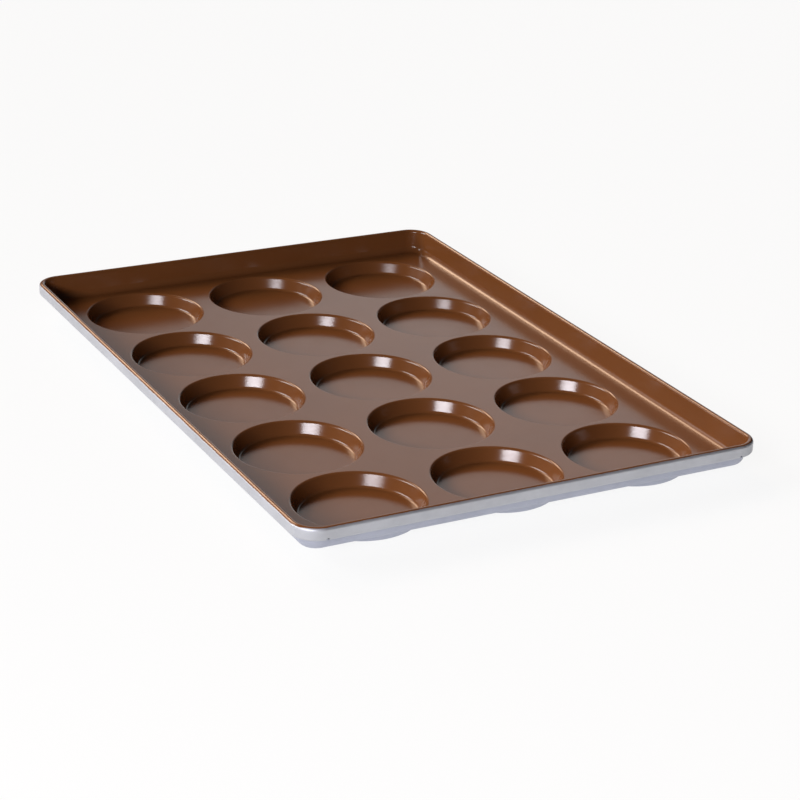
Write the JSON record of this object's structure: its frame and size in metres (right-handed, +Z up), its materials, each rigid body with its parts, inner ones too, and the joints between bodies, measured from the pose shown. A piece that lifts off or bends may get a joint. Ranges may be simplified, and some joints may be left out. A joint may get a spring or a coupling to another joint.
{
  "type": "hamburger bun pan",
  "caption": "Shallow rectangular baking pan drawn from one sheet, with round flat-bottomed cups in its deck, leaning walls and a folded band round a rounded rim.",
  "frame": {"origin": "centre of the pan in plan, at the underside of the cups that it stands on", "axes": "+X across the width, +Y along the length, +Z up out of the open side"},
  "size_m": [0.4572, 0.6604, 0.037],
  "materials": {
    "glazed_steel": "glossy brown release glaze on the inside and over the rim, bare aluminised steel on the outside"
  },
  "bodies": {
    "root": {"pan": "glazed_steel"}
  },
  "joints": []
}
